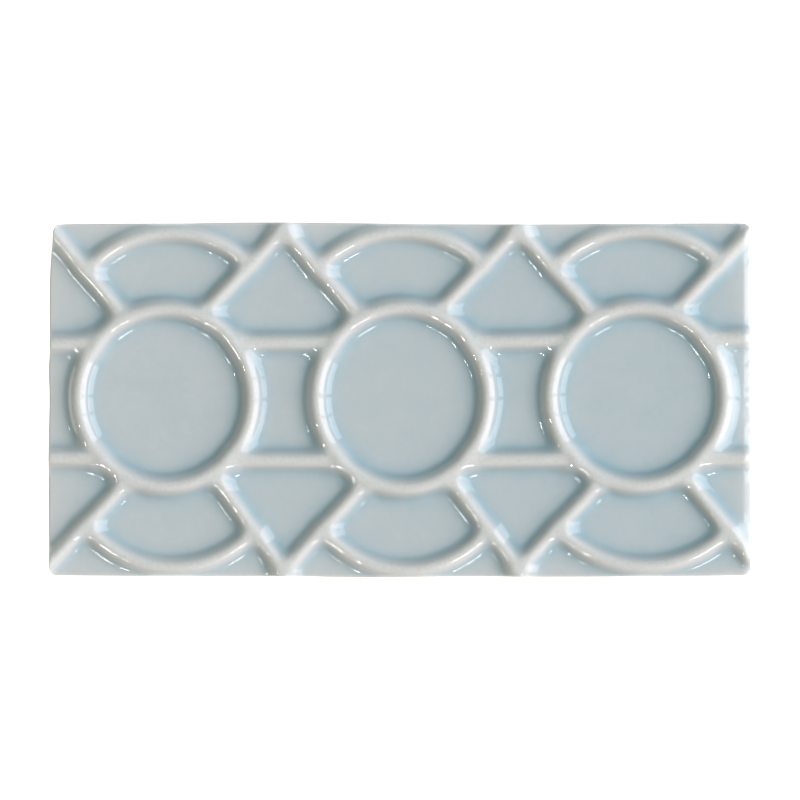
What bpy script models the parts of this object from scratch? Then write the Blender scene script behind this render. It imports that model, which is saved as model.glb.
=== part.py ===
# Decorative relief wall tile: one fired and glazed ceramic body.
# Metres, +Z up. The origin is the middle of the flat back, +X runs along the length,
# and the face with the raised lattice looks along +Z.

import math

import bmesh
import bpy
from mathutils import Vector

# Body
TILE_LENGTH = 0.1500
TILE_WIDTH = 0.0759
FIELD_THICKNESS = 0.0078
CORNER_RADIUS = 0.0018
FIELD_EDGE_RADIUS = 0.0011
RIB_END_RADIUS = 0.0016
BACK_CHAMFER = 0.0004

# Lattice: three equal cells, each a ring with bars, struts and arcs around it
CELL_COUNT = 3
CELL_PITCH = 0.0504
LATTICE_SHIFT_X = 0.0003
RING_CENTRE_Y = 0.0006
RING_RADIUS_X = 0.0187
RING_RADIUS_Y = 0.0191
BAR_Y = {"upper": 0.0125, "lower": -0.0126}
PEAK_Y = {"upper": 0.0364, "lower": -0.0362}
PEAK_SHIFT_X = -0.0001

# Points just past the tile's corners that the four end struts aim at
CORNER_AIMS = {
    "upper_left": (-0.0757, 0.0377),
    "upper_right": (0.0757, 0.0370),
    "lower_left": (-0.0763, -0.0359),
    "lower_right": (0.0755, -0.0342),
}

# Where the struts leave the ring's crest, as angles either side of straight up or down
STRUT_ANGLES = {
    "upper_left": math.radians(27.6),
    "upper_right": math.radians(23.1),
    "lower_left": math.radians(24.2),
    "lower_right": math.radians(31.2),
}

# Arcs above and below each ring, centred a little to its right: centre's y, and radius
ARC_SHIFT_X = 0.0009
ARC_CIRCLES = {
    "upper": (0.0110, 0.0249),
    "lower": (-0.0118, 0.0240),
}

# Rib sections: height over the field, and half the width of the bell curve
RING_RIB = (0.0023, 0.0041)
STRUT_RIB = (0.0020, 0.0032)
ARC_RIB = (0.0019, 0.0031)
BAR_RIB = (0.0018, 0.0031)
RIB_SINK = 0.0003
RIB_ROOT = 0.0012

# Facets
SECTION_STEPS = 12
RING_STEPS = 56
ARC_STEPS = 20
ROUND_STEPS = 4

# How far the blank and the rib ends run past the outline before the edges are trimmed
TRIM_MARGIN = 0.0001
RIB_OVERRUN = 0.0020
TRIM_DEPTH = 0.0010
WELD_DISTANCE = 1e-6
SHARP_ANGLE = math.radians(35)

GLAZE_COLOUR = (0.47, 0.55, 0.56, 1.0)
GLAZE_ROUGHNESS = 0.12


def clear_scene():
    for thing in list(bpy.data.objects):
        bpy.data.objects.remove(thing, do_unlink=True)


def new_collection(name, parent=None):
    collection = bpy.data.collections.new(name)
    (parent or bpy.context.scene.collection).children.link(collection)
    return collection


def mark_as_guide(thing):
    thing.hide_render = True
    thing.display_type = "WIRE"


def round_edges(shape, edges, radius, segments):
    bmesh.ops.bevel(shape, geom=edges, offset=radius, offset_type="OFFSET",
                    segments=segments, profile=0.5, affect="EDGES")


def rounded_block(name, collection, grow, z_low, z_high, top_radius, back_chamfer=0.0):
    """A block with the tile's outline, grown by a margin, with rounded corners and top edge."""
    length = TILE_LENGTH + 2 * grow
    width = TILE_WIDTH + 2 * grow
    shape = bmesh.new()
    bmesh.ops.create_cube(shape, size=1.0)
    bmesh.ops.scale(shape, vec=(length, width, z_high - z_low), verts=shape.verts)
    bmesh.ops.translate(shape, vec=(0.0, 0.0, (z_high + z_low) / 2), verts=shape.verts)
    middle = (z_high + z_low) / 2
    uprights = [e for e in shape.edges if {v.co.z > middle for v in e.verts} == {True, False}]
    round_edges(shape, uprights, CORNER_RADIUS + grow, ROUND_STEPS + 1)
    top_edges = [e for e in shape.edges if all(v.co.z > middle for v in e.verts)]
    round_edges(shape, top_edges, top_radius, ROUND_STEPS)
    if back_chamfer:
        back_edges = [e for e in shape.edges if all(v.co.z < middle for v in e.verts)]
        round_edges(shape, back_edges, back_chamfer, 1)
    mesh = bpy.data.meshes.new(name)
    shape.to_mesh(mesh)
    shape.free()
    block = bpy.data.objects.new(name, mesh)
    collection.objects.link(block)
    return block


def rib_section(name, collection, rib):
    """The closed bell section of a rib. Its foot sinks below the field, its crest is round."""
    height, half_width = rib
    curve = bpy.data.curves.new(name, "CURVE")
    curve.dimensions = "2D"
    points = []
    for step in range(SECTION_STEPS + 1):
        u = -1 + 2 * step / SECTION_STEPS
        bell = math.cos(math.pi * u / 2) ** 2
        points.append((u * half_width, (height + RIB_SINK) * bell - RIB_SINK))
    points.append((half_width, -RIB_ROOT))
    points.append((-half_width, -RIB_ROOT))
    spline = curve.splines.new("POLY")
    spline.points.add(len(points) - 1)
    for point, (x, y) in zip(spline.points, points):
        point.co = (x, y, 0.0, 1.0)
    spline.use_cyclic_u = True
    section = bpy.data.objects.new(name, curve)
    collection.objects.link(section)
    mark_as_guide(section)
    return section


def swept_rib(name, collection, section, path, closed=False):
    """A rib swept along a path on the field, made into a mesh with its caps welded."""
    curve = bpy.data.curves.new(name, "CURVE")
    curve.dimensions = "2D"
    curve.fill_mode = "NONE"
    curve.bevel_mode = "OBJECT"
    curve.bevel_object = section
    curve.use_fill_caps = not closed
    spline = curve.splines.new("POLY")
    spline.points.add(len(path) - 1)
    for point, place in zip(spline.points, path):
        point.co = (place.x, place.y, 0.0, 1.0)
    spline.use_cyclic_u = closed
    sweep = bpy.data.objects.new(name + "_path", curve)
    collection.objects.link(sweep)
    sweep.location.z = FIELD_THICKNESS
    bpy.context.view_layer.update()
    depsgraph = bpy.context.evaluated_depsgraph_get()
    mesh = bpy.data.meshes.new_from_object(sweep.evaluated_get(depsgraph))
    shape = bmesh.new()
    shape.from_mesh(mesh)
    bmesh.ops.remove_doubles(shape, verts=shape.verts, dist=WELD_DISTANCE)
    bmesh.ops.recalc_face_normals(shape, faces=shape.faces)
    shape.to_mesh(mesh)
    shape.free()
    rib = bpy.data.objects.new(name, mesh)
    rib.matrix_world = sweep.matrix_world
    collection.objects.link(rib)
    bpy.data.objects.remove(sweep, do_unlink=True)
    mark_as_guide(rib)


def cell_centre(cell):
    """The x of a cell's middle. The row of cells lies a little right of the tile's middle."""
    return (cell - (CELL_COUNT - 1) / 2) * CELL_PITCH + LATTICE_SHIFT_X


def ring_point(cell, angle):
    """A point on a ring's crest. The angle turns clockwise from straight up."""
    return Vector((cell_centre(cell) + RING_RADIUS_X * math.sin(angle),
                   RING_CENTRE_Y + RING_RADIUS_Y * math.cos(angle)))


def ring_half_width(y):
    """Half the width of a ring's crest along a level line at y."""
    return RING_RADIUS_X * math.sqrt(1 - ((y - RING_CENTRE_Y) / RING_RADIUS_Y) ** 2)


def strut_foot(cell, corner):
    """The point of a ring's crest where one of its four struts starts."""
    angle = STRUT_ANGLES[corner]
    if corner.startswith("lower"):
        angle = math.pi - angle
    if corner.endswith("left"):
        angle = -angle
    return ring_point(cell, angle)


def strut_head(cell, corner):
    """The point that a strut runs to: a tile corner, or the peak half a cell away."""
    row, hand = corner.split("_")
    end_cell = 0 if hand == "left" else CELL_COUNT - 1
    if cell == end_cell:
        return Vector(CORNER_AIMS[corner])
    side = -1 if hand == "left" else 1
    return Vector((cell_centre(cell) + side * CELL_PITCH / 2 + PEAK_SHIFT_X, PEAK_Y[row]))


def overrun(start, end):
    """The end of a line, carried on past it by the rib overrun."""
    return end + (end - start).normalized() * RIB_OVERRUN


def circle_cross(centre, radius, start, end):
    """The point where a circle crosses the line from start to end, on its far side."""
    along = (end - start).normalized()
    back = start - centre
    half = along.dot(back)
    reach = -half + math.sqrt(half ** 2 - back.length_squared + radius ** 2)
    return start + along * reach


def arc_path(cell, row):
    """An arc from strut to strut, over or under its ring."""
    centre_y, radius = ARC_CIRCLES[row]
    centre = Vector((cell_centre(cell) + ARC_SHIFT_X, centre_y))
    middle = math.copysign(math.pi / 2, centre_y)
    ends = []
    for side in ("_left", "_right"):
        start = strut_foot(cell, row + side)
        end = strut_head(cell, row + side)
        offset = circle_cross(centre, radius, start, end) - centre
        turn = math.atan2(offset.y, offset.x) - middle
        ends.append(middle + math.remainder(turn, math.tau))
    first, last = ends
    angles = [first + (last - first) * step / ARC_STEPS for step in range(ARC_STEPS + 1)]
    return [centre + radius * Vector((math.cos(a), math.sin(a))) for a in angles]


def make_rings(collection, section):
    for cell in range(CELL_COUNT):
        path = [ring_point(cell, math.tau * step / RING_STEPS) for step in range(RING_STEPS)]
        swept_rib(f"ring_{cell}", collection, section, path, closed=True)


def make_bars(collection, section):
    """Level bars from each ring to the next one, and from the end rings to the tile's ends."""
    tile_end = TILE_LENGTH / 2 + RIB_OVERRUN
    for row, y in BAR_Y.items():
        stops = [-tile_end]
        for cell in range(CELL_COUNT):
            stops.append(cell_centre(cell) - ring_half_width(y))
            stops.append(cell_centre(cell) + ring_half_width(y))
        stops.append(tile_end)
        for number in range(CELL_COUNT + 1):
            path = [Vector((x, y)) for x in stops[2 * number:2 * number + 2]]
            swept_rib(f"bar_{row}_{number}", collection, section, path)


def make_struts(collection, section):
    """Single struts into the tile's corners, and pairs that meet in a peak between cells."""
    for row in ("upper", "lower"):
        left = row + "_left"
        right = row + "_right"
        for cell, corner in ((0, left), (CELL_COUNT - 1, right)):
            foot = strut_foot(cell, corner)
            head = strut_head(cell, corner)
            swept_rib(f"strut_{corner}", collection, section, [foot, overrun(foot, head)])
        for cell in range(CELL_COUNT - 1):
            path = [strut_foot(cell, right), strut_head(cell, right), strut_foot(cell + 1, left)]
            swept_rib(f"peak_{row}_{cell}", collection, section, path)


def make_arcs(collection, section):
    for cell in range(CELL_COUNT):
        for row in ARC_CIRCLES:
            swept_rib(f"arc_{row}_{cell}", collection, section, arc_path(cell, row))


def glaze_material():
    material = bpy.data.materials.new("pale_blue_glaze")
    material.use_nodes = True
    shader = material.node_tree.nodes["Principled BSDF"]
    shader.inputs["Base Color"].default_value = GLAZE_COLOUR
    shader.inputs["Roughness"].default_value = GLAZE_ROUGHNESS
    shader.inputs["Metallic"].default_value = 0.0
    return material


def add_boolean(thing, name, operation, other):
    modifier = thing.modifiers.new(name, "BOOLEAN")
    modifier.operation = operation
    modifier.solver = "EXACT"
    if isinstance(other, bpy.types.Collection):
        modifier.operand_type = "COLLECTION"
        modifier.collection = other
    else:
        modifier.object = other


def settle_mesh(thing):
    """Keep what the modifiers make as the object's own mesh, welded and shaded smooth."""
    depsgraph = bpy.context.evaluated_depsgraph_get()
    mesh = bpy.data.meshes.new_from_object(thing.evaluated_get(depsgraph))
    thing.modifiers.clear()
    shape = bmesh.new()
    shape.from_mesh(mesh)
    bmesh.ops.remove_doubles(shape, verts=shape.verts, dist=WELD_DISTANCE)
    shape.to_mesh(mesh)
    shape.free()
    mesh.shade_smooth()
    mesh.set_sharp_from_angle(angle=SHARP_ANGLE)
    mesh.name = thing.name
    thing.data = mesh


def make_tile():
    tile_parts = new_collection("relief_tile")
    guides = new_collection("cutters")
    sections = new_collection("rib_sections", guides)
    ribs = new_collection("ribs", guides)

    make_rings(ribs, rib_section("ring_section", sections, RING_RIB))
    make_struts(ribs, rib_section("strut_section", sections, STRUT_RIB))
    make_arcs(ribs, rib_section("arc_section", sections, ARC_RIB))
    make_bars(ribs, rib_section("bar_section", sections, BAR_RIB))

    # The blank is a little larger than the tile all round, and the outline trims it to size
    tile = rounded_block("tile", tile_parts, TRIM_MARGIN, -TRIM_DEPTH, FIELD_THICKNESS,
                         FIELD_EDGE_RADIUS)
    rib_top = FIELD_THICKNESS + RING_RIB[0] + TRIM_MARGIN
    outline = rounded_block("outline", guides, 0.0, 0.0, rib_top, RIB_END_RADIUS, BACK_CHAMFER)
    mark_as_guide(outline)
    tile.data.materials.append(glaze_material())
    add_boolean(tile, "raise_lattice", "UNION", ribs)
    add_boolean(tile, "trim_edges", "INTERSECT", outline)
    settle_mesh(tile)


clear_scene()
make_tile()
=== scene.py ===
import math

import bpy
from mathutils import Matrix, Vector


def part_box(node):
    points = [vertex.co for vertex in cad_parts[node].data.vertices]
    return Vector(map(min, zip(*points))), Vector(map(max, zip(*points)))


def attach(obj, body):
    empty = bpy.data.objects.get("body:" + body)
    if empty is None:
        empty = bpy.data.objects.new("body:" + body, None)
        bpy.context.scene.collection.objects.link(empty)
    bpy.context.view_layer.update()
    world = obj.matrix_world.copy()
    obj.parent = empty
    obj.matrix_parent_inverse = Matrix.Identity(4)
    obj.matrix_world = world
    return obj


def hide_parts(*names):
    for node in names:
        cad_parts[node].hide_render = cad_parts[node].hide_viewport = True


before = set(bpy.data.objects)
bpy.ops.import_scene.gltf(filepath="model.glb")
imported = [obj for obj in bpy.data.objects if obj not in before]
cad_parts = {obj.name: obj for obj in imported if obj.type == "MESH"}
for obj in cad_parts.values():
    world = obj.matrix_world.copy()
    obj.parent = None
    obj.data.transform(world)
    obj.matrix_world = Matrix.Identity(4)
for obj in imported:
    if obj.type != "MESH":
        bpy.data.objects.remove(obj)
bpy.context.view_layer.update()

tileLow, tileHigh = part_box("tile")
tileLength, tileWidth, tileThickness = [float(high - low) for low, high in zip(tileLow, tileHigh)]
mm = 0.001
print("frame loaded, tile", [round(size / mm, 1) for size in (tileLength, tileWidth, tileThickness)], "mm")


# Small helpers for building node trees

def plug(tree, socket, value):
    if isinstance(value, bpy.types.NodeSocket):
        tree.links.new(value, socket)
    else:
        socket.default_value = value


def addNode(tree, kind, inputs=None, **settings):
    made = tree.nodes.new(kind)
    for name, value in settings.items():
        setattr(made, name, value)
    for key, value in (inputs or {}).items():
        plug(tree, made.inputs[key], value)
    return made


def calc(tree, operation, *values, clamp=False):
    inputs = dict(enumerate(values))
    return addNode(tree, "ShaderNodeMath", inputs, operation=operation, use_clamp=clamp).outputs[0]


def nearness(tree, distance, reach):
    # 1 at no distance, 0 from the reach on
    return calc(tree, "SUBTRACT", 1.0, calc(tree, "DIVIDE", distance, reach, clamp=True))


def ramp(tree, value, low, high, smooth=False):
    # 0 up to low, 1 from high on
    kind = "SMOOTHSTEP" if smooth else "LINEAR"
    inputs = {"Value": value, "From Min": low, "From Max": high}
    return addNode(tree, "ShaderNodeMapRange", inputs, interpolation_type=kind).outputs[0]


def mixValues(tree, factor, first, second):
    inputs = {0: factor, 2: first, 3: second}
    return addNode(tree, "ShaderNodeMix", inputs, data_type="FLOAT").outputs[0]


def mixColours(tree, factor, first, second, **settings):
    sides = [(*side, 1) if isinstance(side, tuple) else side for side in (first, second)]
    inputs = {0: factor, 6: sides[0], 7: sides[1]}
    return addNode(tree, "ShaderNodeMix", inputs, data_type="RGBA", **settings).outputs[2]


def vectorMath(tree, operation, first, second):
    return addNode(tree, "ShaderNodeVectorMath", {0: first, 1: second}, operation=operation).outputs


def addNoise(tree, place, scale, detail):
    return addNode(tree, "ShaderNodeTexNoise", {"Vector": place, "Scale": scale, "Detail": detail}).outputs


def addCurve(tree, points, factor, label):
    made = addNode(tree, "ShaderNodeFloatCurve", {"Value": factor}, label=label)
    curve = made.mapping.curves[0]
    while len(curve.points) < len(points):
        curve.points.new(0.5, 0.5)
    for point, place in zip(curve.points, points):
        point.location = place
    made.mapping.use_clip = False
    made.mapping.update()
    return made.outputs[0]


def addSockets(tree, direction, sockets):
    for name, kind, value in sockets:
        socket = tree.interface.new_socket(name=name, in_out=direction, socket_type="NodeSocket" + kind)
        if value is not None:
            socket.default_value = value


def keepPoints(tree, geometry, values):
    # stores each value on the points under its name
    for name, (kind, value) in values.items():
        inputs = {"Geometry": geometry, "Name": name, "Value": value}
        kept = addNode(tree, "GeometryNodeStoreNamedAttribute", inputs, data_type=kind, domain="POINT")
        geometry = kept.outputs[0]
    return geometry


def readPoints(tree, name, kind="FLOAT"):
    return addNode(tree, "GeometryNodeInputNamedAttribute", {"Name": name}, data_type=kind).outputs[0]


def blur(tree, value, passes):
    inputs = {"Value": value, "Iterations": passes}
    return addNode(tree, "GeometryNodeBlurAttribute", inputs, data_type="FLOAT").outputs[0]


def splitVector(tree, vector):
    return addNode(tree, "ShaderNodeSeparateXYZ", {0: vector}).outputs


def useGroup(tree, group, inputs):
    return addNode(tree, "GeometryNodeGroup", inputs, node_tree=group).outputs


def setInputs(modifier, values):
    # a modifier's inputs are keyed by socket identifier
    for item in modifier.node_group.interface.items_tree:
        if item.item_type == "SOCKET" and item.in_out == "INPUT" and item.name in values:
            modifier[item.identifier] = values[item.name]


def tidyTree(tree):
    # lay the nodes out by how far they are from the output, so the tree can be read in the editor
    columnWidth = 220
    rowHeight = 180
    depth = {}
    def visit(node, level):
        if depth.get(node.name, -1) >= level:
            return
        depth[node.name] = level
        for socket in node.inputs:
            for link in socket.links:
                visit(link.from_node, level + 1)
    for node in tree.nodes:
        if not any(socket.is_linked for socket in node.outputs):
            visit(node, 0)
    rows = {}
    for node in tree.nodes:
        level = depth.get(node.name, 0)
        rows[level] = rows.get(level, 0) + 1
        node.location = (-columnWidth * level, -rowHeight * rows[level])


# Camera, lights and floor

studio = {
    "frameWidth": 170.84 * mm,                # what the square picture takes in, at the tile
    "lens": 500.0,                            # mm, very long, so the view is almost flat
    "lookAt": (0.04 * mm, 0.0, 8 * mm),
    "floorSize": 6.0,
    "floorColour": (0.8, 0.8, 0.8),
    "floorGlow": 0.85,                        # the floor is a light table, so no shadow shows on it
    "floorRoughness": 0.8,
    "floorGrainScale": 150.0,
    "floorGrainDepth": 0.2 * mm,
    "floorGrainStrength": 0.05,
    "roomLean": (0.58, -0.2, 0.79),           # towards the brightest part of the room
    "roomDark": (0.082, 0.098, 0.085),
    "roomBright": (1.04, 1.06, 1.08),
    "tints": [                                # bluer light from the top of the picture, warmer from the left
        {"from": (0.45, 1.0, 0.0), "low": 0.0, "high": 0.85, "colour": (0.52, 0.86, 1.06)},
        {"from": (-1.0, 0.15, 0.0), "low": -0.1, "high": 0.8, "colour": (0.92, 0.94, 0.62)},
    ],
}

softboxes = {
    # azimuth 0 is to the right of the picture, 90 to the top; panes go from -1 to 1 across each light
    "window": {"azimuth": 3.5, "elevation": 42.35, "distance": 3.52, "size": (3.19, 4.69), "radiance": 2.6,
               "colour": (1.03, 1.0, 1.05), "upright": True,
               "columns": [(-1.0, -0.157), (-0.1, 0.224), (0.264, 1.0)],
               "rows": [(-1.0, -0.61), (-0.58, -0.26), (-0.23, 0.18), (0.21, 1.0)]},
    "frontRight": {"azimuth": -58.5, "elevation": 45, "distance": 4.0, "size": (0.65, 0.45), "radiance": 22.0,
                   "columns": [(-1.0, -0.1), (0.0, 1.0)], "rows": [(-1.0, 1.0)], "onlyGlints": True},
    "frontLeft": {"azimuth": -139, "elevation": 45, "distance": 4.0, "size": (2.7, 0.15), "radiance": 85.0,
                  "columns": [(-1.0, -0.85), (-0.5, -0.31), (-0.24, 0.02), (0.33, 0.68), (0.85, 1.0)],
                  "rows": [(-1.0, 1.0)], "onlyGlints": True},
    "warmFill": {"azimuth": -142, "elevation": 28, "distance": 4.0, "size": (2.0, 2.0), "radiance": 0.55,
                 "colour": (1.0, 0.86, 0.7),
                 "columns": [(-1.0, 1.0)], "rows": [(-1.0, 1.0)], "onlyFill": True},
}


def makeCamera():
    data = bpy.data.cameras.new("aboveCamera")
    data.lens = studio["lens"]
    data.sensor_width = 36.0
    data.clip_start = 0.01
    distance = studio["frameWidth"] * data.lens / data.sensor_width
    camera = bpy.data.objects.new("aboveCamera", data)
    camera.location = Vector(studio["lookAt"]) + Vector((0, 0, distance))
    bpy.context.scene.collection.objects.link(camera)
    bpy.context.scene.camera = camera


def makeSoftbox(name, values):
    azimuth = math.radians(values["azimuth"])
    elevation = math.radians(values["elevation"])
    level = math.cos(elevation)
    outward = Vector((level * math.cos(azimuth), level * math.sin(azimuth), math.sin(elevation)))
    facing = Vector((outward.x, outward.y, 0)) if values.get("upright") else outward
    turn = (-facing).to_track_quat("-Z", "Y")
    width, height = values["size"]
    for number, (left, right) in enumerate(values["columns"]):
        for row, (low, high) in enumerate(values["rows"]):
            data = bpy.data.lights.new(f"{name}{number}{row}", "AREA")
            data.shape = "RECTANGLE"
            data.size = width * (right - left) / 2
            data.size_y = height * (high - low) / 2
            data.energy = values["radiance"] * math.pi * data.size * data.size_y
            data.color = values.get("colour", (1.0, 1.0, 1.0))
            light = bpy.data.objects.new(data.name, data)
            middle = Vector((width * (left + right) / 4, height * (low + high) / 4, 0))
            light.location = outward * values["distance"] + turn @ middle
            light.rotation_euler = turn.to_euler()
            light.visible_diffuse = not values.get("onlyGlints", False)
            light.visible_glossy = not values.get("onlyFill", False)
            light.visible_camera = False
            bpy.context.scene.collection.objects.link(light)


def makeWorld():
    world = bpy.data.worlds.new("paleRoom")
    world.use_nodes = True
    tree = world.node_tree
    ray = tree.nodes.new("ShaderNodeTexCoord").outputs["Generated"]
    lean = Vector(studio["roomLean"]).normalized()
    toward = vectorMath(tree, "DOT_PRODUCT", ray, lean)["Value"]
    share = ramp(tree, toward, 0.0, 1.0, smooth=True)
    light = mixColours(tree, share, studio["roomDark"], studio["roomBright"])
    for tint in studio["tints"]:
        side = vectorMath(tree, "DOT_PRODUCT", ray, tint["from"])["Value"]
        share = ramp(tree, side, tint["low"], tint["high"], smooth=True)
        light = mixColours(tree, share, light, tint["colour"], blend_type="MULTIPLY")
    tree.links.new(light, tree.nodes["Background"].inputs["Color"])
    bpy.context.scene.world = world
    bpy.context.scene.view_settings.view_transform = "Standard"


def makeFloor():
    half = studio["floorSize"] / 2
    mesh = bpy.data.meshes.new("floor")
    corners = [(-half, -half, 0), (half, -half, 0), (half, half, 0), (-half, half, 0)]
    mesh.from_pydata(corners, [], [(0, 1, 2, 3)])
    floor = bpy.data.objects.new("floor", mesh)
    bpy.context.scene.collection.objects.link(floor)
    material = bpy.data.materials.new("palePaper")
    material.use_nodes = True
    tree = material.node_tree
    shader = tree.nodes["Principled BSDF"]
    place = tree.nodes.new("ShaderNodeTexCoord").outputs["Object"]
    grain = addNoise(tree, place, studio["floorGrainScale"], 3.0)["Fac"]
    bump = addNode(tree, "ShaderNodeBump", {"Height": grain, "Strength": studio["floorGrainStrength"],
                                            "Distance": studio["floorGrainDepth"]})
    tree.links.new(bump.outputs["Normal"], shader.inputs["Normal"])
    shader.inputs["Base Color"].default_value = (*studio["floorColour"], 1)
    shader.inputs["Roughness"].default_value = studio["floorRoughness"]
    shader.inputs["Emission Color"].default_value = (1, 1, 1, 1)
    shader.inputs["Emission Strength"].default_value = studio["floorGlow"]
    mesh.materials.append(material)


makeCamera()
for softboxName, softboxValues in softboxes.items():
    makeSoftbox(softboxName, softboxValues)
makeWorld()
makeFloor()
print("camera, lights and floor placed")


# Guide lines: the crest of every rib, drawn on the tile's plane in mm

lattice = {
    "rings": [(-50.1, 0.55, 18.58, 18.95),            # centre x and y, radius along x and along y
              (0.5, 0.5, 18.34, 19.3),
              (50.8, 0.75, 18.68, 18.95)],
    "struts": {                                       # foot on the ring, head at a peak or corner
        "upperLeft": [((-58.8, 17.6), (-75.7, 37.7)),
                      ((-8.2, 17.4), (-24.9, 36.1)),
                      ((42.0, 17.6), (25.1, 36.4))],
        "upperRight": [((-42.6, 17.9), (-24.8, 36.5)),
                       ((7.5, 18.2), (25.2, 36.5)),
                       ((58.0, 18.2), (75.7, 37.0))],
        "lowerLeft": [((-57.8, -16.8), (-76.2, -36.0)),
                      ((-6.9, -17.1), (-24.9, -36.3)),
                      ((43.15, -17.1), (25.15, -36.0))],
        "lowerRight": [((-40.4, -15.3), (-24.9, -36.4)),
                       ((9.7, -15.8), (25.6, -36.2)),
                       ((60.2, -15.5), (75.5, -34.2))],
    },
    "arcs": {                                         # circle centre x and y, and radius
        "upper": [(-48.9, 11.5, 24.2), (0.5, 10.8, 25.1), (51.1, 10.7, 25.4)],
        "lower": [(-48.6, -11.8, 23.8), (1.2, -13.7, 22.55), (52.2, -9.8, 25.6)],
    },
    "bars": {                                         # y at the left and right end of each stretch
        "upper": [(12.0, 12.2), (12.3, 12.4), (12.4, 12.8), (13.1, 13.3)],
        "lower": [(-12.3, -12.5), (-12.8, -12.9), (-12.8, -12.7), (-12.5, -12.4)],
    },
    "lineStep": 1.0,
    "footGap": 2.2,                                   # ribs start this far outside the ring they stand on,
    "arcGap": 1.7,                                    # and arcs this far from their struts; joints fill it
    "overrun": 76.0,                                  # bars run out to here before the edge cuts them
}
ribKinds = {"ring": 0, "strutFalling": 1, "strutRising": 2, "arc": 3, "bar": 4}


def ringAt(cell, y):
    # how far a ring's crest is from its centre line, at the level y
    x, middle, radiusX, radiusY = lattice["rings"][cell]
    return radiusX * math.sqrt(1 - ((y - middle) / radiusY) ** 2)


def arcEnd(circle, foot, head):
    # the angle at which an arc's circle crosses the line of a strut, going outwards
    middle = Vector(circle[:2])
    start = Vector(foot)
    along = (Vector(head) - start).normalized()
    half = along.dot(start - middle)
    reach = math.sqrt(half ** 2 - (start - middle).length_squared + circle[2] ** 2) - half
    spoke = start + along * reach - middle
    return math.atan2(spoke.y, spoke.x)


def ringLines():
    for x, y, radiusX, radiusY in lattice["rings"]:
        count = round(math.tau * radiusX / lattice["lineStep"])
        turns = [math.tau * i / count for i in range(count)]
        yield "ring", [(x + radiusX * math.cos(a), y + radiusY * math.sin(a)) for a in turns], True


def strutLines():
    for corner, struts in lattice["struts"].items():
        kind = "strutFalling" if corner in ("upperLeft", "lowerRight") else "strutRising"
        for foot, head in struts:
            start = Vector(foot)
            start += (Vector(head) - start).normalized() * lattice["footGap"]
            yield kind, [tuple(start), head], False


def arcLines():
    for row, circles in lattice["arcs"].items():
        middle = math.pi / 2 if row == "upper" else -math.pi / 2
        for cell, circle in enumerate(circles):
            x, y, radius = circle
            ends = [arcEnd(circle, *lattice["struts"][row + side][cell]) for side in ("Left", "Right")]
            first, last = [middle + math.remainder(end - middle, math.tau) for end in ends]
            back = math.copysign(lattice["arcGap"] / radius, last - first)
            first += back
            last -= back
            count = round(abs(last - first) * radius / lattice["lineStep"])
            turns = [first + (last - first) * i / count for i in range(count + 1)]
            yield "arc", [(x + radius * math.cos(a), y + radius * math.sin(a)) for a in turns], False


def barLines():
    rings = lattice["rings"]
    for levels in lattice["bars"].values():
        for number, (left, right) in enumerate(levels):
            start = -lattice["overrun"]
            end = lattice["overrun"]
            if number > 0:
                start = rings[number - 1][0] + ringAt(number - 1, left) + lattice["footGap"]
            if number < len(rings):
                end = rings[number][0] - ringAt(number, right) - lattice["footGap"]
            yield "bar", [(start, left), (end, right)], False


def makeGuides():
    points = []
    edges = []
    kinds = []
    for kind, line, closed in [*ringLines(), *strutLines(), *arcLines(), *barLines()]:
        first = len(points)
        points += [(x * mm, y * mm, 0) for x, y in line]
        pairs = [(first + i, first + i + 1) for i in range(len(line) - 1)]
        if closed:
            pairs.append((first + len(line) - 1, first))
        edges += pairs
        kinds += [ribKinds[kind]] * len(pairs)
    print("guide lines drawn in", len(edges), "pieces")
    mesh = bpy.data.meshes.new("glazedTile")
    mesh.from_pydata(points, edges, [])
    layer = mesh.attributes.new("ribKind", "INT", "EDGE")
    layer.data.foreach_set("value", kinds)
    guides = bpy.data.objects.new("glazedTile", mesh)
    bpy.context.scene.collection.objects.link(guides)
    return guides


# The tile as a node tool: it reads guide lines and presses a rib along each one

relief = {
    "Columns": 420,
    "Rows": 212,
    "Length": tileLength,
    "Width": tileWidth,
    "Field Height": 7.78 * mm,
    "Edge Radius": 0.35 * mm,
    "Right Edge Radius": 2.0 * mm,
    "Edge Blend": 9.0 * mm,                     # how far from the right end its softer edge starts
    "Edge Bend": 0.42,                          # how deep the edge bends, as a share of its radius
    "Edge Rows Width": 1.6 * mm,                # grid lines of the band below are drawn into this width
    "Edge Band": 2.2 * mm,
    "Edge Wave Reach": 8.0 * mm,
    "Corner Radius": 1.8 * mm,
    "Ring Height": 2.3 * mm,
    "Ring Reach": 5.6 * mm,
    "Strut Height": 2.0 * mm,
    "Strut Reach": 4.9 * mm,
    "Arc Height": 1.9 * mm,
    "Arc Reach": 5.0 * mm,
    "Bar Height": 1.9 * mm,
    "Bar Reach": 5.4 * mm,
    "Joint Silt": 1.0 * mm,
    "Joint Silt Reach": 1.1,                    # these three as shares of the ribs' reach
    "Joint Corner": 0.8,
    "Joint Blend": 0.4,
    "Rim Glaze": 2.4 * mm,                      # towards the rim the glaze turns thin over this width,
    "Rim Thinning": 0.25 * mm,                  # and its pools get shallower by this much
    "Rim Thinning Width": 10.0 * mm,
    "Rim Thinning Power": 1.5,
    "Lean": 0.09 * mm,                          # the glaze lies this much deeper at the right end
    "Glaze Passes": 3,
    "Pool Passes": 40,
    "Warp": 0.16 * mm,                          # the ribs wander by at most half of this
    "Warp Scale": 70.0,
    "Waves": 0.06 * mm,
    "Wave Scale": 380.0,
    "Wall Rows": 6,
    "Wall Draft": 0.35 * mm,
    "Back Radius": 0.6 * mm,
    "Weld Distance": 0.001 * mm,
}
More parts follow.
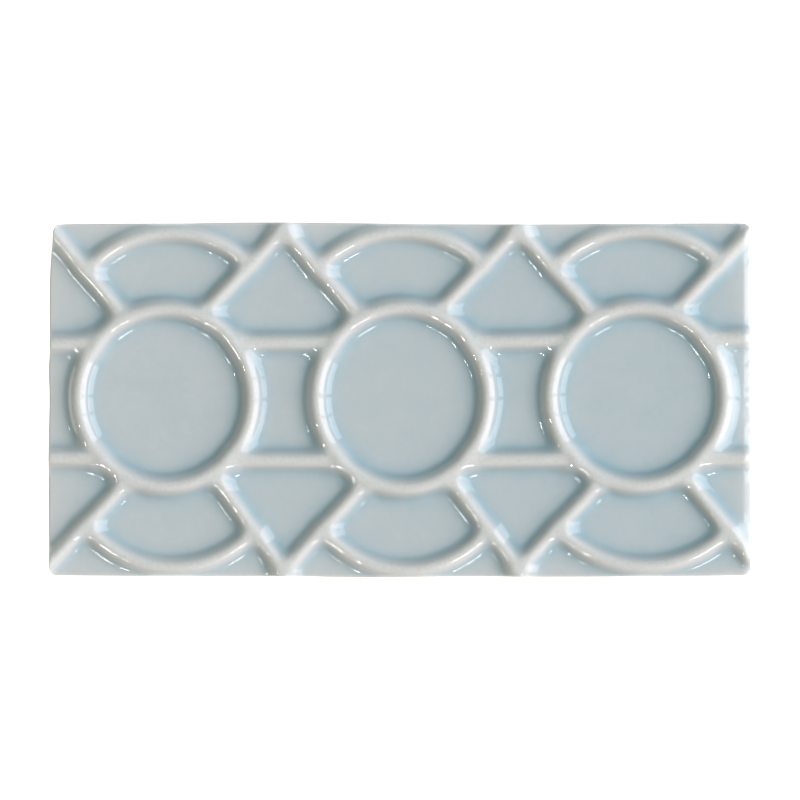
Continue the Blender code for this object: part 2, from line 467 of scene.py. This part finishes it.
# a rib's height over the distance from its crest line (0) to its foot (1)
ribSection = [(0.0, 1.0), (0.1, 0.97), (0.2, 0.84), (0.3, 0.575), (0.4, 0.3),
              (0.46, 0.16), (0.53, 0.09), (0.67, 0.035), (0.84, 0.008), (1.0, 0.0)]
outlineWaves = {                                # how far each edge falls short of the full size, in mm
    "left": [(0.0, 0.15), (0.1, 0.08), (0.4, 0.05), (0.51, 0.2), (0.58, 0.05),
             (0.65, 0.28), (0.78, 0.21), (0.88, 0.43), (0.95, 0.83), (1.0, 1.1)],
    "right": [(0.0, 0.1), (0.3, 0.02), (0.7, 0.05), (1.0, 0.1)],
    "upper": [(0.0, 0.5), (0.05, 0.32), (0.2, 0.17), (0.32, 0.0), (0.4, 0.1),
              (0.5, 0.25), (0.6, 0.4), (0.74, 0.4), (0.8, 0.28), (1.0, 0.2)],
    "lower": [(0.0, 0.5), (0.15, 0.32), (0.32, 0.3), (0.42, 0.1), (0.47, 0.0),
              (0.53, 0.1), (0.6, 0.25), (0.7, 0.15), (0.87, 0.28), (1.0, 0.5)],
}


def ribReachGroup():
    # how far a point is from the crest lines of one kind of rib, as a share of that rib's reach
    tree = bpy.data.node_groups.new("ribReach", "GeometryNodeTree")
    addSockets(tree, "INPUT", [("Guides", "Geometry", None), ("Kind", "Int", 0), ("Reach", "Float", 3 * mm),
                               ("Point", "Vector", None)])
    addSockets(tree, "OUTPUT", [("Share", "Float", None)])
    given = tree.nodes.new("NodeGroupInput").outputs
    near = addNode(tree, "GeometryNodeProximity", {
        "Geometry": given["Guides"],
        "Group ID": readPoints(tree, "ribKind", "INT"),
        "Sample Position": given["Point"],
        "Sample Group ID": given["Kind"],
    }, target_element="EDGES")
    share = calc(tree, "DIVIDE", near.outputs["Distance"], given["Reach"])
    addNode(tree, "NodeGroupOutput", {"Share": share})
    tidyTree(tree)
    return tree


def ribJointGroup():
    # two ribs run into one another with a wide round corner, and the nearer one sets the height
    tree = bpy.data.node_groups.new("ribJoint", "GeometryNodeTree")
    addSockets(tree, "INPUT", [("Share A", "Float", 0.0), ("Height A", "Float", 2 * mm),
                               ("Share B", "Float", 0.0), ("Height B", "Float", 2 * mm),
                               ("Corner", "Float", 1.0), ("Blend", "Float", 0.5)])
    addSockets(tree, "OUTPUT", [("Share", "Float", None), ("Height", "Float", None)])
    given = tree.nodes.new("NodeGroupInput").outputs
    joined = calc(tree, "SMOOTH_MIN", given["Share A"], given["Share B"], given["Corner"])
    lead = calc(tree, "SUBTRACT", given["Share A"], given["Share B"])
    towardB = ramp(tree, lead, calc(tree, "MULTIPLY", given["Blend"], -1.0), given["Blend"], smooth=True)
    height = mixValues(tree, towardB, given["Height A"], given["Height B"])
    addNode(tree, "NodeGroupOutput", {"Share": joined, "Height": height})
    tidyTree(tree)
    return tree


def edgeSpacingGroup():
    # pulls the outer grid lines together, so the rounded edge has enough of them
    tree = bpy.data.node_groups.new("edgeSpacing", "GeometryNodeTree")
    addSockets(tree, "INPUT", [("Coordinate", "Float", 0.0), ("Half", "Float", 50 * mm),
                               ("Width", "Float", 1 * mm), ("Band", "Float", 2 * mm)])
    addSockets(tree, "OUTPUT", [("Coordinate", "Float", None)])
    given = tree.nodes.new("NodeGroupInput").outputs
    inset = calc(tree, "SUBTRACT", given["Half"], calc(tree, "ABSOLUTE", given["Coordinate"]))
    turn = calc(tree, "MULTIPLY", calc(tree, "DIVIDE", inset, given["Band"], clamp=True), math.pi / 2)
    rounded = calc(tree, "MULTIPLY", given["Width"], calc(tree, "SUBTRACT", 1.0, calc(tree, "COSINE", turn)))
    past = calc(tree, "MAXIMUM", calc(tree, "SUBTRACT", inset, given["Band"]), 0.0)
    stretch = calc(tree, "DIVIDE", calc(tree, "SUBTRACT", given["Half"], given["Width"]),
                   calc(tree, "SUBTRACT", given["Half"], given["Band"]))
    spaced = calc(tree, "MULTIPLY_ADD", past, stretch, rounded)
    size = calc(tree, "SUBTRACT", given["Half"], spaced)
    side = calc(tree, "SIGN", given["Coordinate"])
    addNode(tree, "NodeGroupOutput", {"Coordinate": calc(tree, "MULTIPLY", size, side)})
    tidyTree(tree)
    return tree


def roundCorners(tree, given, sizeX, sizeY, halfX, halfY):
    # the square corner of the grid is drawn in to a quarter circle
    tiny = 1e-9
    coreX = calc(tree, "SUBTRACT", halfX, given["Corner Radius"])
    coreY = calc(tree, "SUBTRACT", halfY, given["Corner Radius"])
    cornerX = calc(tree, "MAXIMUM", calc(tree, "SUBTRACT", sizeX, coreX), 0.0)
    cornerY = calc(tree, "MAXIMUM", calc(tree, "SUBTRACT", sizeY, coreY), 0.0)
    square = calc(tree, "MAXIMUM", cornerX, cornerY)
    squares = calc(tree, "ADD", calc(tree, "POWER", cornerX, 2.0), calc(tree, "POWER", cornerY, 2.0))
    circle = calc(tree, "SQRT", squares)
    shrink = calc(tree, "DIVIDE", calc(tree, "ADD", square, tiny), calc(tree, "ADD", circle, tiny))
    roundX = calc(tree, "MULTIPLY_ADD", cornerX, shrink, calc(tree, "MINIMUM", sizeX, coreX))
    roundY = calc(tree, "MULTIPLY_ADD", cornerY, shrink, calc(tree, "MINIMUM", sizeY, coreY))
    return roundX, roundY


def waveEdge(tree, given, size, half, along, length, edges, side):
    # a coordinate falls short of its full size by the wave of the edge on its side
    part = calc(tree, "ADD", calc(tree, "DIVIDE", along, length), 0.5)
    curves = [addCurve(tree, outlineWaves[edge], part, edge + " edge") for edge in edges]
    low, high = [calc(tree, "MULTIPLY", curve, mm) for curve in curves]
    wave = mixValues(tree, calc(tree, "GREATER_THAN", side, 0.0), low, high)
    fade = nearness(tree, calc(tree, "SUBTRACT", half, size), given["Edge Wave Reach"])
    short = calc(tree, "MULTIPLY", wave, calc(tree, "POWER", fade, 2.0))
    return calc(tree, "MULTIPLY", calc(tree, "SUBTRACT", size, short), calc(tree, "SIGN", side))


def outlineNodes(tree, given):
    # the grid point's place on the tile: spaced, with round corners and wavy hand-made edges
    spacing = edgeSpacingGroup()
    place = splitVector(tree, tree.nodes.new("GeometryNodeInputPosition").outputs[0])
    halfX = calc(tree, "DIVIDE", given["Length"], 2.0)
    halfY = calc(tree, "DIVIDE", given["Width"], 2.0)
    widths = {"Width": given["Edge Rows Width"], "Band": given["Edge Band"]}
    x = useGroup(tree, spacing, {"Coordinate": place["X"], "Half": halfX, **widths})[0]
    y = useGroup(tree, spacing, {"Coordinate": place["Y"], "Half": halfY, **widths})[0]
    sizeX = calc(tree, "ABSOLUTE", x)
    sizeY = calc(tree, "ABSOLUTE", y)
    inset = calc(tree, "MINIMUM", calc(tree, "SUBTRACT", halfX, sizeX), calc(tree, "SUBTRACT", halfY, sizeY))
    roundX, roundY = roundCorners(tree, given, sizeX, sizeY, halfX, halfY)
    wavedX = waveEdge(tree, given, roundX, halfX, y, given["Width"], ("left", "right"), x)
    wavedY = waveEdge(tree, given, roundY, halfY, x, given["Length"], ("lower", "upper"), y)
    flat = addNode(tree, "ShaderNodeCombineXYZ", {"X": wavedX, "Y": wavedY}).outputs[0]
    return flat, inset


def warpNodes(tree, given, flat):
    # the guides are read through a faint warp, so no rib is dead straight
    wander = addNoise(tree, flat, given["Warp Scale"], 1.0)["Color"]
    swing = vectorMath(tree, "SUBTRACT", wander, (0.5, 0.5, 0.5))[0]
    push = addNode(tree, "ShaderNodeVectorMath", {0: swing, "Scale": given["Warp"]}, operation="SCALE")
    warped = vectorMath(tree, "ADD", flat, push.outputs[0])[0]
    return vectorMath(tree, "MULTIPLY", warped, (1, 1, 0))[0]


def ribNodes(tree, given, point):
    # the height of all the ribs at a point, and how much of a crest the point is
    reachGroup = ribReachGroup()
    jointGroup = ribJointGroup()
    farAway = 9.0
    share = None
    for kind, name in (("ring", "Ring"), ("strutFalling", "Strut"), ("strutRising", "Strut"),
                       ("bar", "Bar"), ("arc", "Arc")):
        rib = useGroup(tree, reachGroup, {"Guides": given["Guides"], "Kind": ribKinds[kind],
                                          "Reach": given[name + " Reach"], "Point": point})[0]
        if share is None:
            share = rib
            nearest = rib
            second = farAway
            fullHeight = given[name + " Height"]
        else:
            joint = useGroup(tree, jointGroup, {"Share A": share, "Height A": fullHeight,
                                                "Share B": rib, "Height B": given[name + " Height"],
                                                "Corner": given["Joint Corner"],
                                                "Blend": given["Joint Blend"]})
            share = joint["Share"]
            fullHeight = joint["Height"]
            second = calc(tree, "MINIMUM", second, calc(tree, "MAXIMUM", nearest, rib))
            nearest = calc(tree, "MINIMUM", nearest, rib)
    within = calc(tree, "MAXIMUM", calc(tree, "MINIMUM", share, 1.0), 0.0)
    section = addCurve(tree, ribSection, within, "rib section")
    height = calc(tree, "MULTIPLY", section, fullHeight)
    crest = addCurve(tree, ribSection, calc(tree, "MINIMUM", nearest, 1.0), "crest")

    # glaze and clay fill the valley where two ribs meet
    inCorner = calc(tree, "POWER", nearness(tree, second, given["Joint Silt Reach"]), 2.0)
    silt = calc(tree, "MULTIPLY", given["Joint Silt"], inCorner)
    silt = calc(tree, "MULTIPLY", silt, calc(tree, "SUBTRACT", 1.0, section))
    return calc(tree, "ADD", height, silt), crest


def edgeDrop(tree, given, x, inset):
    # the edge bends down, more gently at the right end
    toRight = calc(tree, "SUBTRACT", calc(tree, "DIVIDE", given["Length"], 2.0), x)
    rightShare = nearness(tree, toRight, given["Edge Blend"])
    radius = mixValues(tree, rightShare, given["Edge Radius"], given["Right Edge Radius"])
    near = nearness(tree, inset, radius)
    fall = calc(tree, "MULTIPLY", calc(tree, "POWER", near, 2.0), given["Edge Bend"])
    return calc(tree, "MULTIPLY", fall, radius)


def waveNodes(tree, given, flat, crest):
    # the glaze lies in faint waves over the ribs
    swell = addNoise(tree, flat, given["Wave Scale"], 1.0)["Fac"]
    wave = calc(tree, "MULTIPLY", calc(tree, "SUBTRACT", swell, 0.5), given["Waves"])
    return calc(tree, "MULTIPLY", wave, calc(tree, "SQRT", crest))


def poolNodes(tree, given, shape, x, inset):
    # the glaze lies deep where the relief is lower than its surroundings, and thin along the rim; in mm
    around = blur(tree, shape, given["Pool Passes"])
    toRim = nearness(tree, inset, given["Rim Thinning Width"])
    thinning = calc(tree, "POWER", toRim, given["Rim Thinning Power"])
    thinned = calc(tree, "MULTIPLY", given["Rim Thinning"], thinning)
    halfLength = calc(tree, "DIVIDE", given["Length"], 2.0)
    lean = calc(tree, "DIVIDE", calc(tree, "MULTIPLY", given["Lean"], x), halfLength)
    deeper = calc(tree, "ADD", calc(tree, "SUBTRACT", around, shape), calc(tree, "SUBTRACT", lean, thinned))
    return calc(tree, "DIVIDE", deeper, mm)


def wallNodes(tree, given, top):
    # walls grow down from the rim row by row, with a little draft and a rounded back edge
    position = tree.nodes.new("GeometryNodeInputPosition").outputs[0]
    start = tree.nodes.new("GeometryNodeRepeatInput")
    end = tree.nodes.new("GeometryNodeRepeatOutput")
    start.pair_with_output(end)
    plug(tree, start.inputs["Iterations"], given["Wall Rows"])
    plug(tree, start.inputs["Geometry"], keepPoints(tree, top, {"rim": ("FLOAT_VECTOR", position)}))
    faces = tree.nodes.new("GeometryNodeInputMeshEdgeNeighbors").outputs[0]
    isBorder = calc(tree, "COMPARE", faces, 1.0, 0.1)
    wall = addNode(tree, "GeometryNodeExtrudeMesh", {"Mesh": start.outputs["Geometry"], "Selection": isBorder,
                                                     "Offset Scale": 0.0}, mode="EDGES")
    down = calc(tree, "DIVIDE", calc(tree, "ADD", start.outputs["Iteration"], 1.0), given["Wall Rows"])
    left = calc(tree, "POWER", calc(tree, "SUBTRACT", 1.0, down), 2.0)
    rim = splitVector(tree, readPoints(tree, "rim", "FLOAT_VECTOR"))
    z = calc(tree, "MULTIPLY", rim["Z"], left)
    rise = nearness(tree, z, given["Back Radius"])
    chord = calc(tree, "SQRT", calc(tree, "SUBTRACT", 1.0, calc(tree, "POWER", rise, 2.0)))
    bend = calc(tree, "SUBTRACT", 1.0, chord)
    draft = calc(tree, "MULTIPLY", down, given["Wall Draft"])
    tuck = calc(tree, "MULTIPLY_ADD", bend, given["Back Radius"], draft)
    drawnIn = {"Z": z}
    for axis, size in (("X", "Length"), ("Y", "Width")):
        share = calc(tree, "DIVIDE", tuck, calc(tree, "DIVIDE", given[size], 2.0))
        drawnIn[axis] = calc(tree, "MULTIPLY", rim[axis], calc(tree, "SUBTRACT", 1.0, share))
    place = addNode(tree, "ShaderNodeCombineXYZ", drawnIn)
    moved = addNode(tree, "GeometryNodeSetPosition", {"Geometry": wall.outputs["Mesh"],
                                                      "Selection": wall.outputs["Top"],
                                                      "Position": place.outputs[0]})
    tree.links.new(moved.outputs[0], end.inputs["Geometry"])
    return end.outputs["Geometry"], isBorder


def closeBack(tree, given, walls, isBorder):
    # a flat back fills the lowest row of the walls; everything but the back is shaded smooth
    straightDown = -0.999
    border = addNode(tree, "GeometryNodeMeshToCurve", {"Mesh": walls, "Selection": isBorder})
    back = addNode(tree, "GeometryNodeFillCurve", {"Curve": border.outputs[0]}, mode="NGONS")
    turned = addNode(tree, "GeometryNodeFlipFaces", {"Mesh": back.outputs[0]})
    both = tree.nodes.new("GeometryNodeJoinGeometry")
    tree.links.new(walls, both.inputs[0])
    tree.links.new(turned.outputs[0], both.inputs[0])
    closed = addNode(tree, "GeometryNodeMergeByDistance", {"Geometry": both.outputs[0],
                                                           "Distance": given["Weld Distance"]})
    facing = splitVector(tree, tree.nodes.new("GeometryNodeInputNormal").outputs[0])
    notBack = calc(tree, "GREATER_THAN", facing["Z"], straightDown)
    return addNode(tree, "GeometryNodeSetShadeSmooth", {"Geometry": closed.outputs[0],
                                                        "Shade Smooth": notBack}).outputs[0]


def latticeTileTree():
    tree = bpy.data.node_groups.new("latticeTile", "GeometryNodeTree")
    sizes = [(name, "Int" if isinstance(value, int) else "Float", value) for name, value in relief.items()]
    addSockets(tree, "INPUT", [("Guides", "Geometry", None), *sizes, ("Glaze", "Material", None)])
    addSockets(tree, "OUTPUT", [("Tile", "Geometry", None)])
    given = tree.nodes.new("NodeGroupInput").outputs
    grid = addNode(tree, "GeometryNodeMeshGrid", {
        "Size X": given["Length"],
        "Size Y": given["Width"],
        "Vertices X": given["Columns"],
        "Vertices Y": given["Rows"],
    })
    flat, inset = outlineNodes(tree, given)
    x = splitVector(tree, flat)["X"]
    height, crest = ribNodes(tree, given, warpNodes(tree, given, flat))
    crest = calc(tree, "MAXIMUM", crest, nearness(tree, inset, given["Rim Glaze"]))
    kept = keepPoints(tree, grid.outputs["Mesh"], {
        "clay": ("FLOAT", height),
        "drop": ("FLOAT", edgeDrop(tree, given, x, inset)),
        "rim": ("FLOAT_VECTOR", flat),
        "waves": ("FLOAT", waveNodes(tree, given, flat, crest)),
        "crest": ("FLOAT", crest),
    })

    # melted glaze softens the clay relief
    clay = readPoints(tree, "clay")
    drop = readPoints(tree, "drop")
    pool = poolNodes(tree, given, calc(tree, "SUBTRACT", clay, drop), x, inset)
    kept = keepPoints(tree, kept, {"pool": ("FLOAT", pool)})
    soft = calc(tree, "ADD", given["Field Height"], blur(tree, clay, given["Glaze Passes"]))
    top = calc(tree, "SUBTRACT", calc(tree, "ADD", soft, readPoints(tree, "waves")), drop)
    lift = addNode(tree, "ShaderNodeCombineXYZ", {"Z": top}).outputs[0]
    raised = vectorMath(tree, "ADD", readPoints(tree, "rim", "FLOAT_VECTOR"), lift)[0]
    pressed = addNode(tree, "GeometryNodeSetPosition", {"Geometry": kept, "Position": raised})

    walls, isBorder = wallNodes(tree, given, pressed.outputs[0])
    closed = closeBack(tree, given, walls, isBorder)
    for name in ("ribKind", "clay", "drop", "rim", "waves"):
        closed = addNode(tree, "GeometryNodeRemoveAttribute", {"Geometry": closed, "Name": name}).outputs[0]
    solid = addNode(tree, "GeometryNodeRealizeInstances", {"Geometry": closed})
    coated = addNode(tree, "GeometryNodeSetMaterial", {"Geometry": solid.outputs[0],
                                                       "Material": given["Glaze"]})
    addNode(tree, "NodeGroupOutput", {"Tile": coated.outputs[0]})
    tidyTree(tree)
    return tree


# The tile's finish: glaze on the face, and bare clay on the lower walls and the back

glazeLook = {
    "thin": (0.70, 0.67, 0.635),                # over the crests, where the clay shows through
    "worn": (0.65, 0.615, 0.57),                # speckles on the crests
    "even": (0.606, 0.599, 0.586),              # on the fields
    "deep": (0.325, 0.455, 0.50),               # in the feet of the ribs
    "thinFrom": 0.64,                           # share of the rib's height where the glaze starts to thin
    "thinTo": 0.98,
    "deepFrom": -0.30,                          # mm below the surroundings
    "deepTo": 0.60,
    "cloudScale": 150.0,                        # soft drifts of thicker and thinner glaze
    "cloudDepth": 0.25,
    "mistScale": 700.0,                         # faint mottling in the glaze
    "mistDepth": 0.20,
    "speckScale": 1500.0,
    "speckFrom": 0.4,
    "speckTo": 0.75,
    "roughness": 0.022,
    "ior": 1.6,
}

clayLook = {
    "pale": (0.74, 0.69, 0.62),
    "dark": (0.58, 0.52, 0.45),
    "grainScale": 2600.0,
    "grainDepth": 0.06 * mm,
    "roughness": 0.9,
    "glazeLine": 3.2 * mm,                      # the glaze stops about here on the walls
    "lineSwing": 3.4 * mm,
    "lineScale": 130.0,
    "lineSoft": 0.12 * mm,
}


def swingNoise(tree, place, scale, detail, depth):
    # noise that swings to both sides of nought
    noise = addNoise(tree, place, scale, detail)["Fac"]
    return calc(tree, "MULTIPLY", calc(tree, "SUBTRACT", noise, 0.5), depth)


def glazeShader(tree, place):
    # the glaze's colour follows how thick it lies
    glaze = tree.nodes["Principled BSDF"]
    pool = addNode(tree, "ShaderNodeAttribute", attribute_name="pool").outputs["Fac"]
    crest = addNode(tree, "ShaderNodeAttribute", attribute_name="crest").outputs["Fac"]
    clouds = swingNoise(tree, place, glazeLook["cloudScale"], 2.0, glazeLook["cloudDepth"])
    mist = swingNoise(tree, place, glazeLook["mistScale"], 6.0, glazeLook["mistDepth"])
    depth = calc(tree, "ADD", pool, calc(tree, "ADD", mist, clouds))
    deep = ramp(tree, depth, glazeLook["deepFrom"], glazeLook["deepTo"])
    body = mixColours(tree, deep, glazeLook["even"], glazeLook["deep"])
    specks = addNoise(tree, place, glazeLook["speckScale"], 3.0)["Fac"]
    speck = ramp(tree, specks, glazeLook["speckFrom"], glazeLook["speckTo"])
    clay = mixColours(tree, speck, glazeLook["thin"], glazeLook["worn"])
    thin = ramp(tree, crest, glazeLook["thinFrom"], glazeLook["thinTo"], smooth=True)
    tree.links.new(mixColours(tree, thin, body, clay), glaze.inputs["Base Color"])
    glaze.inputs["Roughness"].default_value = glazeLook["roughness"]
    glaze.inputs["IOR"].default_value = glazeLook["ior"]
    return glaze.outputs[0]


def clayShader(tree, place):
    clay = tree.nodes.new("ShaderNodeBsdfPrincipled")
    grain = addNoise(tree, place, clayLook["grainScale"], 4.0)["Fac"]
    tree.links.new(mixColours(tree, grain, clayLook["dark"], clayLook["pale"]), clay.inputs["Base Color"])
    bump = addNode(tree, "ShaderNodeBump", {"Height": grain, "Distance": clayLook["grainDepth"]})
    tree.links.new(bump.outputs["Normal"], clay.inputs["Normal"])
    clay.inputs["Roughness"].default_value = clayLook["roughness"]
    return clay.outputs[0]


def tileMaterial():
    material = bpy.data.materials.new("paleBlueGlaze")
    material.use_nodes = True
    tree = material.node_tree
    place = tree.nodes.new("ShaderNodeTexCoord").outputs["Object"]
    glaze = glazeShader(tree, place)
    clay = clayShader(tree, place)

    # the glaze line wanders along the walls
    swing = swingNoise(tree, place, clayLook["lineScale"], 3.0, clayLook["lineSwing"])
    line = calc(tree, "ADD", swing, clayLook["glazeLine"])
    below = calc(tree, "SUBTRACT", line, splitVector(tree, place)["Z"])
    bare = ramp(tree, below, 0.0, clayLook["lineSoft"])
    mixed = addNode(tree, "ShaderNodeMixShader", {0: bare, 1: glaze, 2: clay})
    tree.links.new(mixed.outputs[0], tree.nodes["Material Output"].inputs["Surface"])
    tidyTree(tree)
    return material


def makeTile():
    tile = makeGuides()
    modifier = tile.modifiers.new("latticeTile", "NODES")
    modifier.node_group = latticeTileTree()
    setInputs(modifier, relief)
    setInputs(modifier, {"Glaze": tileMaterial()})
    depsgraph = bpy.context.evaluated_depsgraph_get()
    mesh = bpy.data.meshes.new_from_object(tile.evaluated_get(depsgraph))
    mesh.name = "glazedTile"
    tile.modifiers.clear()
    tile.data = mesh
    triangles = sum(len(face.vertices) - 2 for face in mesh.polygons)
    print("glazed tile:", len(mesh.vertices), "points,", triangles, "triangles")
    return tile


glazedTile = makeTile()
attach(glazedTile, "root")
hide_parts("tile")
